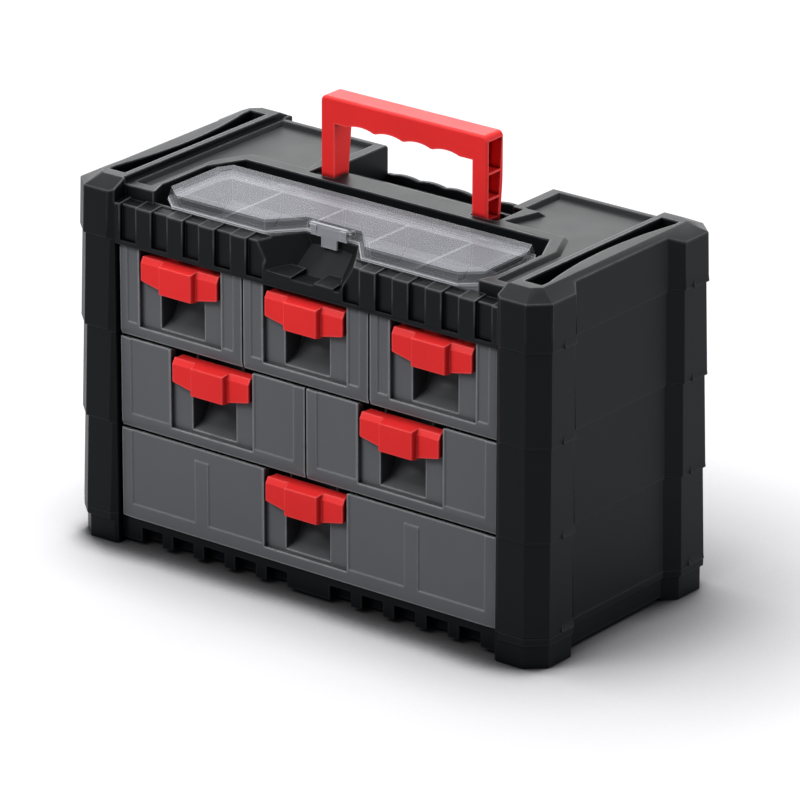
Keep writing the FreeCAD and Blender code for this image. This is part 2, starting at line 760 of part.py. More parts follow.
# ------------------------------------------------------------------ drawers
def finger_pocket(x, z0, z1, grow):
    """Finger pocket space; grow gives the shell round it."""
    back = front_plane + bay_depth + pocket_depth + grow
    floor = z0 + bay_sill + pocket_sill - grow
    start = Vector(x - pocket_half - grow, front_plane - nudge, floor)
    sill = Vector(start.x, front_plane + bay_depth, floor + pocket_fall)
    knee = Vector(start.x, back - pocket_curve, floor + pocket_step)
    bend = Vector(start.x, back - pocket_crown, floor + (pocket_step + pocket_rise) / 2)
    crest = Vector(start.x, back, floor + pocket_rise)
    high = Vector(start.x, back, z1)
    front = Vector(start.x, front_plane - nudge, z1)
    edges = [
        Part.makeLine(start, sill),
        Part.makeLine(sill, knee),
        Part.Arc(knee, bend, crest).toShape(),
        Part.makeLine(crest, high),
        Part.makeLine(high, front),
        Part.makeLine(front, start),
    ]
    face = Part.Face(Part.Wire(edges))
    return face.extrude(Vector(2 * (pocket_half + grow), 0, 0))


def sunk_field(x0, x1, z0, z1):
    """Shallow field on a front plate, with sloped edges."""
    outer = [(x0, z0), (x1, z0), (x1, z1), (x0, z1)]
    inner = [(x0 + panel_sink, z0 + panel_sink), (x1 - panel_sink, z0 + panel_sink),
             (x1 - panel_sink, z1 - panel_sink), (x0 + panel_sink, z1 - panel_sink)]
    face_wire = closed_wire([Vector(x, front_plane, z) for x, z in outer])
    floor_wire = closed_wire([Vector(x, front_plane + panel_sink, z) for x, z in inner])
    return Part.makeLoft([face_wire, floor_wire], True, True)


def end_bevel(x, inward, z0, z1, margin):
    """The end of a front plate leans back a little."""
    run = (margin - nudge) * inward
    points = [(x - inward, front_plane - nudge), (x - inward, front_plane + panel_sink),
              (x, front_plane + panel_sink), (x + run, front_plane), (x + run, front_plane - nudge)]
    return prism(points, z0 - nudge, z1 + nudge)


def drawer_fields(x0, x1, centre, ribs, margin):
    """Ends of the sunk fields between the borders, the ribs and the grip bay."""
    stops = [(x0, x0 + margin)]
    marks = [(centre - bay_half - bay_border, centre + bay_half + bay_border)]
    marks += [(x - panel_rib / 2, x + panel_rib / 2) for x in ribs]
    stops += sorted(marks)
    stops.append((x1 - margin, x1))
    return [(left[1], right[0]) for left, right in zip(stops, stops[1:])]


def drawer(index, x0, x1, ribs=()):
    z0 = seam(index) - front_drop
    z1 = z0 + front_height
    centre = (x0 + x1) / 2
    tray_z0 = seam(index) + shelf + tray_lift
    tray_z1 = seam(index) + module_height - tray_headroom
    left = x0 + tray_inset
    right = x1 - tray_inset
    plate = box(x0, x1, front_plane, front_back, z0, z1)
    tray = box(left, right, front_back, tray_rear, tray_z0, tray_z1)
    bay_back = front_plane + bay_depth + front_thick
    bay_top = z0 + pull_top - hook_thick - hook_play
    bay_shell = box(centre - bay_half - front_thick, centre + bay_half + front_thick,
                    front_plane, bay_back, tray_z0, z1)
    pocket_shell = finger_pocket(centre, z0, tray_z1, pocket_wall)
    inside = box(left + tray_wall, right - tray_wall, front_back, tray_rear - tray_wall,
                 tray_z0 + tray_wall, z1 + reach)
    body = plate.fuse(tray).cut(inside.cut([bay_shell, pocket_shell]))
    bay = box(centre - bay_half, centre + bay_half, front_plane - nudge,
              front_plane + bay_depth, z0 + bay_sill, z1 + reach)
    over_bay = box(centre - bay_half, centre + bay_half, front_plane - nudge,
                   bay_back + hook_thick + 2 * hook_play, bay_top, z1 + reach)
    body = body.cut([bay, over_bay, finger_pocket(centre, z0, z1 + reach, 0.0)])
    margin = narrow_margin if index == row_count - 1 else panel_margin
    cuts = [end_bevel(x0, 1, z0, z1, margin), end_bevel(x1, -1, z0, z1, margin)]
    for start, end in drawer_fields(x0, x1, centre, ribs, margin):
        cuts.append(sunk_field(start, end, z0 + panel_sill, z1 + reach))
    for x in ribs:
        cuts.append(sunk_field(x - panel_rib, x + panel_rib, z1 - rib_head, z1 + reach))
    if index > 0:
        sole = [(front_plane - nudge, z0 - nudge), (front_plane + sole_depth, z0 - nudge),
                (front_plane + sole_depth, z0), (front_plane, z0 + sole_height),
                (front_plane - nudge, z0 + sole_height)]
        cuts.append(side_profile(sole, x0 - nudge, x1 + nudge))
    body = body.cut(cuts)
    for x in ribs:
        body = body.fuse(divider_guides(x, index))
    return body


def divider_guides(x, index):
    """Pairs of thin ribs inside the tray that hold a loose divider."""
    z0 = seam(index) + shelf + tray_lift + tray_wall
    z1 = seam(index) + module_height - tray_headroom - divider_low
    inner = divider_thick / 2 + divider_play
    rear = tray_rear - tray_wall
    guides = []
    for side in (-1, 1):
        a = x + side * inner
        b = x + side * (inner + divider_slot_wall)
        for y0, y1 in ((front_back, front_back + divider_guide), (rear - divider_guide, rear)):
            guides.append(box(min(a, b), max(a, b), y0, y1, z0, z1))
    return guides


def divider(x, index):
    z0 = seam(index) + shelf + tray_lift + tray_wall
    z1 = seam(index) + module_height - tray_headroom - divider_low
    y0 = front_back + divider_play
    y1 = tray_rear - tray_wall - divider_play
    half = divider_thick / 2
    return box(x - half, x + half, y0, y1, z0, z1)


def upright_frame(centre, half, y, z0, z1):
    """Rectangle in a plane across the front."""
    return closed_wire([Vector(centre - half, y, z0), Vector(centre + half, y, z0),
                        Vector(centre + half, y, z1), Vector(centre - half, y, z1)])


def drawer_pull(index, x0, x1):
    z0 = seam(index) - front_drop
    centre = (x0 + x1) / 2
    face = front_plane - pull_proud
    seat = front_plane + bay_depth
    block_y = -half_d
    root = block_half + block_flare
    wing = front_profile([(centre - pull_half, z0 + pull_outer_low), (centre - root, z0 + pull_inner_low),
                          (centre + root, z0 + pull_inner_low), (centre + pull_half, z0 + pull_outer_low),
                          (centre + pull_half, z0 + pull_top), (centre - pull_half, z0 + pull_top)],
                         face, seat)
    bevel_back = face + wing_bevel_y
    bevel_low = z0 + pull_top - wing_bevel_z
    over = z0 + pull_top + nudge
    shave = side_profile([(face - nudge, bevel_low), (face, bevel_low), (bevel_back, z0 + pull_top),
                          (bevel_back, over), (face - nudge, over)],
                         centre - pull_half - nudge, centre + pull_half + nudge)
    wing = wing.cut(shave)
    root_wire = upright_frame(centre, root, bevel_back, z0 + block_low, z0 + pull_top)
    face_wire = upright_frame(centre, block_half, block_y, z0 + block_low + block_chin, z0 + block_top)
    block = Part.makeLoft([face_wire, root_wire], True, True)
    hollow = box(centre - block_half + block_skin, centre + block_half - block_skin,
                 block_y + block_skin, seat + nudge, z0 + block_low - nudge, z0 + block_top - block_roof)
    inner = seat + front_thick + hook_play
    roof = box(centre - pull_half + hook_end, centre + pull_half - hook_end, seat - nudge,
               inner + hook_thick, z0 + pull_top - hook_thick, z0 + pull_top)
    body = wing.fuse([block, roof]).cut(hollow)
    hook_in = pocket_half + pocket_wall + hook_play
    for side in (-1, 1):
        a = centre + side * hook_in
        b = centre + side * (pull_half - hook_end)
        low_x, high_x = min(a, b), max(a, b)
        body = body.fuse(box(low_x, high_x, inner, inner + hook_thick,
                             z0 + pull_top - hook_thick - hook_drop, z0 + pull_top))
    return body


# ------------------------------------------------------------------- handle
def handle_bow(y0, z0, z1):
    """Grip and legs as one bow with rounded top corners and a fluted grip."""
    r = handle_edge
    c = r * (1 - math.sqrt(0.5))
    h = handle_half
    leg_in = h - handle_leg
    grip_low = z1 - grip_tall
    edges = [
        Part.makeLine(Vector(-h, y0, z0), Vector(-h, y0, z1 - r)),
        Part.Arc(Vector(-h, y0, z1 - r), Vector(-h + c, y0, z1 - c), Vector(-h + r, y0, z1)).toShape(),
        Part.makeLine(Vector(-h + r, y0, z1), Vector(h - r, y0, z1)),
        Part.Arc(Vector(h - r, y0, z1), Vector(h - c, y0, z1 - c), Vector(h, y0, z1 - r)).toShape(),
        Part.makeLine(Vector(h, y0, z1 - r), Vector(h, y0, z0)),
        Part.makeLine(Vector(h, y0, z0), Vector(leg_in, y0, z0)),
        Part.makeLine(Vector(leg_in, y0, z0), Vector(leg_in, y0, grip_low)),
    ]
    at = leg_in
    for i in range(flute_count):
        right = (flute_count / 2 - i) * flute_pitch - flute_land / 2
        left = right - flute_pitch + flute_land
        edges.append(Part.makeLine(Vector(at, y0, grip_low), Vector(right, y0, grip_low)))
        middle = Vector((left + right) / 2, y0, grip_low + flute_rise)
        edges.append(Part.Arc(Vector(right, y0, grip_low), middle, Vector(left, y0, grip_low)).toShape())
        at = left
    edges.append(Part.makeLine(Vector(at, y0, grip_low), Vector(-leg_in, y0, grip_low)))
    edges.append(Part.makeLine(Vector(-leg_in, y0, grip_low), Vector(-leg_in, y0, z0)))
    edges.append(Part.makeLine(Vector(-leg_in, y0, z0), Vector(-h, y0, z0)))
    bow = Part.Face(Part.Wire(edges)).extrude(Vector(0, handle_deep + grip_deeper, 0))
    rounded = [edge for edge in bow.Edges
               if all(v.Z > z1 - r - 0.01 for v in edge.Vertexes)
               and abs(edge.Vertexes[0].Y - edge.Vertexes[-1].Y) < 0.01]
    bow = bow.makeFillet(handle_round, rounded)
    y1 = y0 + handle_deep
    lean = (grip_deeper + handle_round) / handle_rise
    back = y1 + lean * (z1 - z0)
    behind = side_profile([(y1, z0 - nudge), (y1, z0), (back, z1), (back, z1 + nudge),
                           (y1 + reach, z1 + nudge), (y1 + reach, z0 - nudge)], -h - nudge, h + nudge)
    return bow.cut(behind)


def carry_handle():
    y0 = pivot_y - handle_deep / 2
    y1 = pivot_y + handle_deep / 2
    z1 = pivot_z + handle_rise
    leg_in = handle_half - handle_leg
    body = handle_bow(y0, pivot_z, z1)
    foot = rod(leg_in, handle_half, pivot_y, pivot_z, handle_deep / 2)
    body = body.fuse([foot, mirrored(foot)])
    skin = leg_hollow_wall
    low = pivot_z + leg_hollow_low
    high = z1 - skin - handle_round
    lean = grip_deeper / handle_rise
    hollow = side_profile([(y0 + skin, low), (y1 - skin + lean * leg_hollow_low, low),
                           (y1 - skin + lean * (high - pivot_z), high), (y0 + skin, high)],
                          leg_in + skin, handle_half + nudge)
    for place in leg_rib_places:
        hollow = hollow.cut(box(leg_in, handle_half + reach, y0, y1 + reach, pivot_z + place,
                                pivot_z + place + leg_rib))
    eye = rod(leg_in - nudge, handle_half + nudge, pivot_y, pivot_z, pivot_radius + pivot_fit)
    return body.cut([hollow, mirrored(hollow), eye, mirrored(eye)])


def handle_pins():
    bury = pin_bury - pin_end_gap
    pin = rod(slot_inner - bury, slot_outer + bury, pivot_y, pivot_z, pivot_radius)
    return pair(pin)


# ---------------------------------------------------------------- organiser
def rim_outline():
    half = [
        (rim_notch_root, -rim_notch_y),
        (rim_notch_top, -rim_front),
        (rim_half - rim_corner_x, -rim_front),
        (rim_half, -rim_front + rim_corner_y),
        (rim_half, -rim_rear - rim_rear_cut_y),
        (rim_half - rim_rear_cut_x, -rim_rear),
    ]
    return both_halves(half)


def hinge_ears():
    """Tub side of one hinge: two ears with a gap for the lid's knuckle."""
    ears = []
    for side in (-1, 1):
        a = hinge_x + side * (knuckle_half + knuckle_play)
        b = hinge_x + side * (knuckle_half + knuckle_play + ear_width)
        low_x, high_x = min(a, b), max(a, b)
        ear = rod(low_x, high_x, hinge_y, hinge_z, knuckle_radius)
        web = box(low_x, high_x, -rim_rear - nudge, hinge_y, rim_low, rim_top)
        ears += [ear, web]
    return ears


def organiser_tub():
    outline = rim_outline()
    low = cabin_floor + tub_floor_gap
    outer = taper(inset(outline, tub_side + tub_draft), low, inset(outline, tub_side), rim_low)
    rim = prism(outline, rim_low, rim_top)
    body = outer.fuse(rim)
    skin = tub_side + tub_wall
    inner = taper(inset(outline, skin + tub_draft), low + tub_wall, inset(outline, skin), rim_top)
    inner = inner.fuse(prism(inset(outline, skin), rim_top, rim_top + nudge))
    front = -rim_front + skin
    rear = -rim_rear - skin
    floor = low + tub_wall
    trough = side_profile([(front + tub_bevel, floor), (rear - tub_bevel, floor),
                           (rear + nudge, floor + tub_bevel + nudge), (rear + nudge, rim_top + nudge),
                           (front - nudge, rim_top + nudge), (front - nudge, floor + tub_bevel + nudge)],
                          -rim_half, rim_half)
    cells = inner.common(trough)
    for i in range(1, cell_count):
        x = (i - cell_count / 2) * cell_pitch
        cells = cells.cut(box(x - tub_wall / 2, x + tub_wall / 2, -half_d, half_d, low, rim_top - cell_drop))
    body = body.cut(cells)
    ears = hinge_ears()
    body = body.fuse(ears + [mirrored(shape) for shape in ears])
    end = knuckle_half + ear_width + nudge
    bore = rod(hinge_x - end, hinge_x + end, hinge_y, hinge_z, lid_pin_radius + pin_seat_fit)
    return body.cut([bore, mirrored(bore)])


def organiser_lid():
    outline = rim_outline()
    outer = taper(inset(outline, lid_edge), lid_low, inset(outline, lid_edge + lid_lean), lid_top)
    inner = taper(inset(outline, lid_edge + lid_skin), lid_low,
                  inset(outline, lid_edge + lid_skin + lid_lean), lid_top - lid_plate)
    body = outer.cut(inner)
    window = taper(inset(outline, lid_border + lid_window_sink), lid_top - lid_window_sink,
                   inset(outline, lid_border), lid_top)
    body = body.cut(window)
    knuckle = rod(hinge_x - knuckle_half, hinge_x + knuckle_half, hinge_y, hinge_z, knuckle_radius)
    arm = box(hinge_x - knuckle_half, hinge_x + knuckle_half, -rim_rear - lid_edge - knuckle_arm, hinge_y,
              lid_low, hinge_z + knuckle_radius)
    body = body.fuse([knuckle, arm, mirrored(knuckle), mirrored(arm)])
    bore = rod(hinge_x - knuckle_half - nudge, hinge_x + knuckle_half + nudge, hinge_y, hinge_z,
               lid_pin_radius + pivot_fit)
    body = body.cut([bore, mirrored(bore)])
    post = box(latch_half - latch_post, latch_half, latch_y - latch_post_half, lid_skin - rim_notch_y,
               latch_z - latch_post_half, lid_top - latch_roof)
    eye = rod(0.0, latch_half + nudge, latch_y, latch_z, latch_pin_radius + pin_seat_fit)
    post = post.cut(eye)
    return body.fuse([post, mirrored(post)])


def lid_latch():
    """Latch flap at the notch of the lid, with a hanging tab."""
    inner = latch_inner
    barrel = rod(-inner, inner, latch_y, latch_z, latch_radius)
    face = latch_y - latch_radius
    back = face + latch_thick
    flap = box(-inner, inner, face, back, lid_top - latch_flap_low, latch_z)
    tab = box(-latch_tab_half, latch_tab_half, face, back, lid_top - latch_tab_low, latch_z)
    roof = box(-inner, inner, face, latch_y + latch_roof, latch_z, lid_top)
    shoulder = pair(box(inner - latch_shoulder, inner, face - latch_shoulder_proud, back,
                        lid_top - latch_shoulder_low, lid_top - latch_shoulder_top))
    body = barrel.fuse([flap, tab, roof] + shoulder.Solids)
    return body.cut(rod(-latch_half, latch_half, latch_y, latch_z, latch_pin_radius + pivot_fit))


def latch_pin():
    end = latch_half - pin_end_gap
    return rod(-end, end, latch_y, latch_z, latch_pin_radius)


def lid_hinge_pins():
    end = knuckle_half + knuckle_play + ear_width - pin_end_gap
    return pair(rod(hinge_x - end, hinge_x + end, hinge_y, hinge_z, lid_pin_radius))


# -------------------------------------------------------------------- build
def main():
    os.makedirs("parts", exist_ok=True)
    save("base_frame", base_frame())
    layout = (("lower", 1), ("middle", 2), ("upper", 3))
    for index, (name, count) in enumerate(layout):
        save(name + "_module", drawer_module(index, count))
        for number, (x0, x1) in enumerate(row_edges(count)):
            label = name + "_drawer_" + str(number + 1)
            ribs = (-divider_x, divider_x) if count == 1 else ()
            save(label + "_tray", drawer(index, x0, x1, ribs))
            save(label + "_pull", drawer_pull(index, x0, x1))
            for side, x in enumerate(ribs):
                save("lower_divider_" + str(side + 1), divider(x, index))
    save("top_housing", top_housing())
    save("carry_handle", carry_handle())
    save("handle_pins", handle_pins())
    save("organiser_tub", organiser_tub())
    save("organiser_lid", organiser_lid())
    save("lid_hinge_pins", lid_hinge_pins())
    save("lid_latch", lid_latch())
    save("latch_pin", latch_pin())


main()
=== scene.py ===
import json
import math

import bpy
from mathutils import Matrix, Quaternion, Vector

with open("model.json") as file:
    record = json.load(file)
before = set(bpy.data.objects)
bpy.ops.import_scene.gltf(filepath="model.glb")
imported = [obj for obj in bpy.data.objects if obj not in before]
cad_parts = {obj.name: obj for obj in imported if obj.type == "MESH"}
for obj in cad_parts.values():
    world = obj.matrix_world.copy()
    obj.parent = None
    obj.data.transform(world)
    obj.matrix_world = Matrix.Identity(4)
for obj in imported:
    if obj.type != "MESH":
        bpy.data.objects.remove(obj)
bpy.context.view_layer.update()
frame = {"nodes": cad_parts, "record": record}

MM = 0.001
nodes = frame["nodes"]

# ------------------------------------------------------------------ camera
CAMERA_AZIMUTH = math.radians(37.78)      # from the front towards the right side
CAMERA_ELEVATION = math.radians(21.54)
CAMERA_ROLL = math.radians(0.124)
CAMERA_DISTANCE = 4.5936
CAMERA_TARGET = Vector((0.00786, 0.0, 0.11705))
CAMERA_LENS = 305.5                       # mm
CAMERA_SENSOR = 36.0                      # mm
CAMERA_FAR = 50.0

# ------------------------------------------------------------ colours, linear
BLACK = (0.0036, 0.0044, 0.0054)
DRAWER_GREY = (0.110, 0.113, 0.121)
RED = (0.82, 0.027, 0.027)
MILK = (0.50, 0.51, 0.55)
STEEL = (0.55, 0.55, 0.56)
# edge colours: a painted highlight along edges, together with rubbed wear
BLACK_HIGHLIGHT_AND_WEAR = (0.100, 0.108, 0.112)
GREY_HIGHLIGHT_AND_WEAR = (0.34, 0.345, 0.35)
RED_HIGHLIGHT_AND_WEAR = (0.90, 0.10, 0.095)
PAINTED_EDGE_HIGHLIGHT = (0.90, 0.91, 0.94)
PURE_BLACK = (0.0, 0.0, 0.0, 1.0)
PURE_WHITE = (1.0, 1.0, 1.0, 1.0)

# ------------------------------------------------------------------- floor
FLOOR_HALF = 12.0
FLOOR_ROUGHNESS = 0.9
FLOOR_COLOUR = (0.235, 0.230, 0.250, 1.0)
FLOOR_GLOW = 0.78                         # near the box, where the lamps add the rest
FAR_GLOW = 1.0
LAMPLIT = (0.9, 3.6)                      # metres from the box over which lamplight fades
# each painted floor shadow: reach in metres, strength, lean of the light
WIDE_SHADE = (0.20, 1.50, (-0.52, -0.38, 0.76))
CLOSE_SHADE = (0.085, 1.0, (0.0, 0.0, 1.0))
CONTACT_SHADE = (0.045, 1.0, (0.0, 0.50, 0.86))
CONTACT_LIMITS = (0.36, 0.78, 0.10)       # full shade, no shade, darkest level
SHADE_SAMPLES = 16

# --------------------------------------------------------- lamps and world
LAMP_TARGET = Vector((0.0, 0.0, 0.15))
WORLD_COLOUR = (0.80, 0.82, 0.86, 1.0)
WORLD_STRENGTH = 0.30
BACKDROP_RAYS = ("Is Camera Ray", "Is Transmission Ray", "Is Glossy Ray")

# ---------------------------------------------------------- painted shade, painted edge highlight, wear and grain
GRAIN_DEPTH = 0.015 * MM
# reaches of the painted shade: in seams and crevices, and in the drawers' finger pockets
CREVICE_REACH = 3.5 * MM
POCKET_REACH = 40.0 * MM
HIGHLIGHT_AND_WEAR_AIR = (0.30, 0.70)                    # openness from which an edge gets the painted highlight and wear, and gets it fully
HIGHLIGHT_AND_WEAR_FADE = 10.0 * MM                      # height over which the painted highlight and wear set in
HIGHLIGHT_AND_WEAR_BELOW = 0.12                          # share of the painted highlight and wear left below that
EDGE_TURN = (0.02, 0.16)                  # how far an edge departs from flat: none, all
TUB_RIM_TOP = 251.9 * MM
TUB_RIM_THICK = 0.2 * MM
RIM_SHADE_FADE = 0.1 * MM
RIM_SHADE_COVER = 0.45                         # cover left on the tub's rim top under the lid, thinned so the dark bay shows through as painted shade
DECK_FOOT = 238.0 * MM                    # on the top the edges get the painted highlight and rubbed wear in full, the walls below little


# --------------------------------------------------------------- materials
class Nodes:
    """A small helper that builds one material's node tree."""

    def __init__(self, name):
        self.material = bpy.data.materials.new(name)
        self.material.use_nodes = True
        self.tree = self.material.node_tree
        self.shader = self.tree.nodes["Principled BSDF"]
        self.place = self.add("ShaderNodeTexCoord").outputs["Object"]

    def add(self, kind, **settings):
        node = self.tree.nodes.new(kind)
        for key, value in settings.items():
            setattr(node, key, value)
        return node

    def link(self, source, target):
        self.tree.links.new(source, target)

    def noise(self, scale, detail=3.0, rough=0.5, stretch=(1.0, 1.0, 1.0)):
        texture = self.add("ShaderNodeTexNoise")
        texture.inputs["Scale"].default_value = scale
        texture.inputs["Detail"].default_value = detail
        texture.inputs["Roughness"].default_value = rough
        mapping = self.add("ShaderNodeMapping")
        mapping.inputs["Scale"].default_value = stretch
        self.link(self.place, mapping.inputs["Vector"])
        self.link(mapping.outputs["Vector"], texture.inputs["Vector"])
        return texture.outputs["Fac"]

    def spread(self, value, low, high, out_low=0.0, out_high=1.0):
        node = self.add("ShaderNodeMapRange")
        node.inputs["From Min"].default_value = low
        node.inputs["From Max"].default_value = high
        node.inputs["To Min"].default_value = out_low
        node.inputs["To Max"].default_value = out_high
        self.link(value, node.inputs["Value"])
        return node.outputs["Result"]

    def math(self, operation, first, second):
        node = self.add("ShaderNodeMath", operation=operation)
        for socket, value in zip(node.inputs, (first, second)):
            if isinstance(value, (int, float)):
                socket.default_value = value
            else:
                self.link(value, socket)
        return node.outputs["Value"]

    def blend(self, amount, first, second):
        node = self.add("ShaderNodeMix", data_type="RGBA")
        self.link(amount, node.inputs["Factor"])
        for socket, value in ((node.inputs[6], first), (node.inputs[7], second)):
            if isinstance(value, tuple):
                socket.default_value = (*value, 1.0)
            else:
                self.link(value, socket)
        return node.outputs[2]

    def set(self, **values):
        for name, value in values.items():
            self.shader.inputs[name.replace("_", " ")].default_value = value

    def bump(self, height, depth, strength=1.0, before=None):
        node = self.add("ShaderNodeBump")
        node.inputs["Strength"].default_value = strength
        node.inputs["Distance"].default_value = depth
        self.link(height, node.inputs["Height"])
        if before is not None:
            self.link(before, node.inputs["Normal"])
        return node.outputs["Normal"]

    def off_flat(self, value):
        """0 where the value is 1, rising to 1 as it drops below that."""
        slight, full = EDGE_TURN
        return self.spread(value, 1.0 - slight, 1.0 - full)

    def rims(self, width):
        """High along the sharp edges of thin clear walls."""
        rounded = self.add("ShaderNodeBevel", samples=6)
        rounded.inputs["Radius"].default_value = width
        flat = self.add("ShaderNodeNewGeometry").outputs["True Normal"]
        turn = self.add("ShaderNodeVectorMath", operation="DOT_PRODUCT")
        self.link(rounded.outputs["Normal"], turn.inputs[0])
        self.link(flat, turn.inputs[1])
        return self.off_flat(turn.outputs["Value"])

    def ridges(self, width):
        """High along outer edges, and most along those that face up."""
        buried = self.add("ShaderNodeAmbientOcclusion", samples=8, only_local=True, inside=True)
        buried.inputs["Distance"].default_value = width
        parts = self.add("ShaderNodeSeparateXYZ")
        self.link(self.add("ShaderNodeNewGeometry").outputs["True Normal"], parts.inputs["Vector"])
        # edges that face up are made lighter, as if lit from above: painted highlight
        facing_up = self.spread(parts.outputs["Z"], 0.05, 0.60, 0.6, 1.0)
        return self.math("MULTIPLY", self.off_flat(buried.outputs["AO"]), facing_up)

    def height(self):
        place = self.add("ShaderNodeSeparateXYZ")
        self.link(self.place, place.inputs["Vector"])
        return place.outputs["Z"]

    def open_air(self, reach):
        """Low deep in a seam or a crevice, 1 in the open."""
        hidden = self.add("ShaderNodeAmbientOcclusion", samples=6, only_local=False)
        hidden.inputs["Distance"].default_value = reach
        return hidden.outputs["AO"]


def shades(colour, factor):
    return tuple(c * factor for c in colour)


def moulded(name, colour, edge_colour, edge_width, rough, grain_size, mottling=0.08,
            painted_shade=(CREVICE_REACH, 0.56, 0.96), deep=0.25, highlight_and_wear_above=None):
    """Injection-moulded plastic: spark-eroded grain, faint flow mottling, edges with a painted
    highlight and rubbed wear, and painted shade in seams, crevices and pockets.

    painted_shade holds the reach of the painted shade, the openness at which it is full and at
    which it ends; deep is the share of the colour that is left where it is full.
    """
    m = Nodes(name)
    flow = m.noise(14.0, 4.0, 0.55, (1.0, 1.0, 0.6))
    tone = m.blend(m.spread(flow, 0.3, 0.7),
                   shades(colour, 1.0 - mottling), shades(colour, 1.0 + mottling))
    patchy = m.spread(m.noise(160.0, 2.0), 0.25, 0.7, 0.55, 1.0)
    reach, shut, free = painted_shade
    air = m.open_air(reach)
    # painted shade: the colour darkens where seams, crevices and pockets close it in
    crevice = m.spread(air, shut, free)
    # painted highlight and wear along outer edges: patchy, kept out of crevices, on the black full
    # only on the top
    edges = m.math("MULTIPLY", m.ridges(edge_width), patchy)
    highlight_and_wear = m.math("MULTIPLY", edges, m.spread(air, *HIGHLIGHT_AND_WEAR_AIR))
    if highlight_and_wear_above is not None:
        above_foot = m.spread(m.height(), highlight_and_wear_above - HIGHLIGHT_AND_WEAR_FADE, highlight_and_wear_above, HIGHLIGHT_AND_WEAR_BELOW, 1.0)
        highlight_and_wear = m.math("MULTIPLY", highlight_and_wear, above_foot)
    shaded = m.blend(crevice, shades(colour, deep), tone)
    m.link(m.blend(highlight_and_wear, shaded, edge_colour), m.shader.inputs["Base Color"])
    shine = m.spread(m.noise(55.0, 3.0), 0.3, 0.7, rough - 0.015, rough + 0.02)
    m.link(shine, m.shader.inputs["Roughness"])
    grain = m.noise(1000.0 / grain_size, 2.0, 0.6)
    m.link(m.bump(grain, GRAIN_DEPTH), m.shader.inputs["Normal"])
    return m


def black_plastic():
    m = moulded("black_plastic", BLACK, BLACK_HIGHLIGHT_AND_WEAR, edge_width=1.5 * MM, rough=0.40,
                grain_size=0.8, highlight_and_wear_above=DECK_FOOT)
    m.set(IOR=1.19, Specular_Tint=(0.94, 1.0, 1.0, 1.0))
    return m.material


def drawer_plastic():
    # the drawers' painted shade reaches far, darkening the finger pockets and trays
    m = moulded("drawer_plastic", DRAWER_GREY, GREY_HIGHLIGHT_AND_WEAR, edge_width=1.4 * MM, rough=0.36,
                grain_size=1.4, mottling=0.05, painted_shade=(POCKET_REACH, 0.28, 0.84), deep=0.18)
    m.set(IOR=1.24)
    return m.material


def red_plastic():
    m = moulded("red_plastic", RED, RED_HIGHLIGHT_AND_WEAR, edge_width=1.3 * MM, rough=0.42,
                grain_size=1.0, mottling=0.05)
    m.set(IOR=1.22)
    return m.material


def milky_plastic(name, alpha, wall_alpha, wall_shade, edge_width, edge_alpha, rough,
                  rim_shade_above=None):
    """Translucent plastic: its walls let the dark bay through, its upright walls carry painted
    shade and its edges a painted highlight.

    alpha is the cover of level faces and wall_alpha that of upright ones, which are painted
    darker by wall_shade; rim_shade_above is the height above which the cover is thinned, so
    that the dark bay shows through as painted shade on the rim top under the lid.
    """
    m = Nodes(name)
    flow = m.noise(18.0, 3.0)
    tone = m.blend(m.spread(flow, 0.3, 0.7), shades(MILK, 0.94), shades(MILK, 1.06))
    normal = m.add("ShaderNodeNewGeometry").outputs["True Normal"]
    parts = m.add("ShaderNodeSeparateXYZ")
    m.link(normal, parts.inputs["Vector"])
    level = m.spread(m.math("ABSOLUTE", parts.outputs["Z"], 0.0), 0.3, 0.8)
    # painted highlight along sharp edges, near white, which also raises the cover there
    edge_highlight = m.rims(edge_width)
    # painted shade: upright walls take a darker milk colour than level faces
    body = m.blend(level, shades(MILK, wall_shade), tone)
    m.link(m.blend(edge_highlight, body, PAINTED_EDGE_HIGHLIGHT), m.shader.inputs["Base Color"])
    veil = m.spread(level, 0.0, 1.0, wall_alpha, alpha)
    if rim_shade_above is not None:
        # painted shade: the tub's rim top under the lid is made more see-through, so the dark bay
        # darkens it
        thin = m.spread(m.height(), rim_shade_above, rim_shade_above + RIM_SHADE_FADE, 1.0, RIM_SHADE_COVER)
        veil = m.math("MULTIPLY", veil, thin)
    cover = m.math("MAXIMUM", veil, m.math("MULTIPLY", edge_highlight, edge_alpha))
    m.link(cover, m.shader.inputs["Alpha"])
    shine = m.spread(m.noise(90.0), 0.3, 0.7, rough - 0.03, rough + 0.05)
    m.link(shine, m.shader.inputs["Roughness"])
    m.link(m.bump(m.noise(40.0, 1.0), GRAIN_DEPTH), m.shader.inputs["Normal"])
    m.set(IOR=1.20)
    return m.material


def steel():
    m = Nodes("pin_steel")
    drawn = m.noise(60.0, 3.0, 0.5, (0.2, 8.0, 8.0))
    tone = m.blend(m.spread(drawn, 0.3, 0.7), shades(STEEL, 0.8), STEEL)
    m.link(tone, m.shader.inputs["Base Color"])
    m.link(m.spread(drawn, 0.3, 0.7, 0.28, 0.42), m.shader.inputs["Roughness"])
    m.set(Metallic=1.0)
    return m.material


# ------------------------------------------------------- finishing CAD nodes
BEVEL_ANGLE = math.radians(20.0)
CRISP_ANGLE = math.radians(28.0)
WELD_DISTANCE = 0.01 * MM
NORMAL_WEIGHT = 80
CRISP = ("carry_handle", "organiser_tub", "organiser_lid", "lid_latch")


